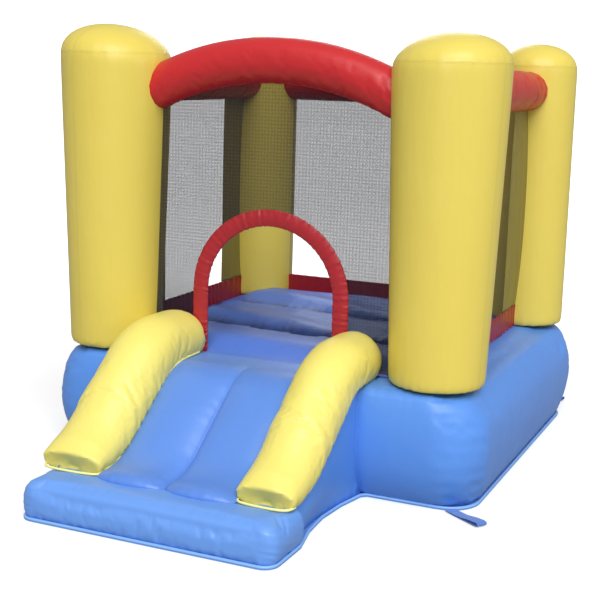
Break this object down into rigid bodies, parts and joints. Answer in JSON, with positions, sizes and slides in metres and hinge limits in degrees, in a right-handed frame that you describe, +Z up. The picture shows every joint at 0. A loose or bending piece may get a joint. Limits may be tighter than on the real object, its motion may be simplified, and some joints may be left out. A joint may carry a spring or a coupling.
{
  "type": "inflatable bounce house",
  "caption": "Inflatable play house with a raised jump floor, corner posts, padded top beams, net walls, an arched doorway, a front slide with side rolls, and an electric blower.",
  "frame": {"origin": "on the ground, at the centre of the rectangle of the corner posts", "axes": "+X to the right of someone facing the slide, +Y from the slide to the back, +Z up"},
  "size_m": [2.0368, 3.17, 1.85],
  "materials": {
    "blue_cloth": "semi-gloss coated weave",
    "blue_floor": "semi-gloss coated weave",
    "inner_cloth": "semi-gloss coated weave",
    "yellow_cloth": "semi-gloss coated weave",
    "yellow_roll": "semi-gloss coated weave",
    "yellow_strip": "semi-gloss coated weave",
    "red_cloth": "semi-gloss coated weave",
    "red_strip": "semi-gloss coated weave",
    "red_binding": "semi-gloss coated weave",
    "mesh_net": "open knotted mesh",
    "blue_webbing": "matt woven webbing",
    "dark_webbing": "matt woven webbing",
    "sleeve_cloth": "semi-gloss coated weave",
    "zip_cloth": "semi-gloss coated weave",
    "zip_plastic": "fine grain moulded",
    "zip_metal": "satin",
    "blower_plastic": "fine grain moulded",
    "blower_dark": "fine grain moulded",
    "impeller_plastic": "fine grain moulded",
    "motor_metal": "satin",
    "shaft_steel": "brushed",
    "switch_red": "smooth gloss",
    "rubber_black": "matt"
  },
  "bodies": {
    "house": {"air_sleeve": "sleeve_cloth", "base_wall": "blue_cloth", "beam_front": "red_cloth", "beam_left": "red_cloth", "beam_rear": "red_cloth", "beam_right": "red_cloth", "blower_feet": "rubber_black", "blower_handle": "blower_plastic", "blower_housing_left": "blower_plastic", "blower_housing_right": "blower_plastic", "blower_stand": "blower_dark", "bolster_left": "yellow_roll", "bolster_right": "yellow_roll", "cable_gland": "rubber_black", "door_trim": "red_binding", "floor_baffles": "inner_cloth", "ground_sheet": "blue_cloth", "housing_screws": "shaft_steel", "intake_grille": "blower_dark", "jump_floor": "blue_floor", "motor": "motor_metal", "motor_cover": "blower_dark", "net_front": "mesh_net", "net_left": "mesh_net", "net_rear": "mesh_net", "net_right": "mesh_net", "post_front_left": "yellow_cloth", "post_front_right": "yellow_cloth", "post_rear_left": "yellow_cloth", "post_rear_right": "yellow_cloth", "side_strip_left_front": "yellow_strip", "side_strip_left_rear": "yellow_strip", "side_strip_right_front": "yellow_strip", "side_strip_right_rear": "yellow_strip", "skirt_left": "red_strip", "skirt_rear": "red_strip", "skirt_right": "red_strip", "sleeve_strap": "dark_webbing", "slide_bed": "blue_floor", "slide_foot": "blue_floor", "slide_side_left": "blue_cloth", "slide_side_right": "blue_cloth", "slide_web": "inner_cloth", "strap_buckle": "zip_plastic", "switch_box": "blower_dark", "zip_tape": "zip_cloth", "zip_teeth": "zip_plastic"},
    "impeller": {"impeller": "impeller_plastic", "motor_shaft": "shaft_steel"},
    "switch_rocker": {"switch_rocker": "switch_red"},
    "zip_slider": {"zip_slider": "zip_metal"},
    "zip_pull": {"zip_pull": "zip_metal"},
    "anchor_loop_front_right": {"anchor_loop_front_right": "blue_webbing"},
    "anchor_loop_rear_left": {"anchor_loop_rear_left": "blue_webbing"},
    "anchor_loop_rear_right": {"anchor_loop_rear_right": "blue_webbing"}
  },
  "joints": [
    {"name": "impeller_spin", "type": "hinge", "parent": "house", "child": "impeller", "pos_m": [-0.45, 1.33, 0.175], "axis": [1, 0, 0], "continuous": true},
    {"name": "switch_rock", "type": "hinge", "parent": "house", "child": "switch_rocker", "pos_m": [-0.576, 1.4, 0.183], "axis": [1, 0, 0], "range_deg": [0, 14]},
    {"name": "zip_slide", "type": "slide", "parent": "house", "child": "zip_slider", "axis": [1, 0, 0], "range_m": [0, 0.256]},
    {"name": "zip_pull_swing", "type": "hinge", "parent": "zip_slider", "child": "zip_pull", "pos_m": [0.352, 0.9426, 0.24], "axis": [1, 0, 0], "range_deg": [0, 80]},
    {"name": "loop_front_right_lift", "type": "hinge", "parent": "house", "child": "anchor_loop_front_right", "pos_m": [0.87901, -0.85203, 0.002], "axis": [-0.5592, -0.829, 0], "range_deg": [0, 40]},
    {"name": "loop_rear_left_lift", "type": "hinge", "parent": "house", "child": "anchor_loop_rear_left", "pos_m": [-0.86435, 0.85766, 0.002], "axis": [0.9781, 0.2079, 0], "range_deg": [0, 40]},
    {"name": "loop_rear_right_lift", "type": "hinge", "parent": "house", "child": "anchor_loop_rear_right", "pos_m": [0.86435, 0.85766, 0.002], "axis": [0.9781, -0.2079, 0], "range_deg": [0, 40]}
  ]
}
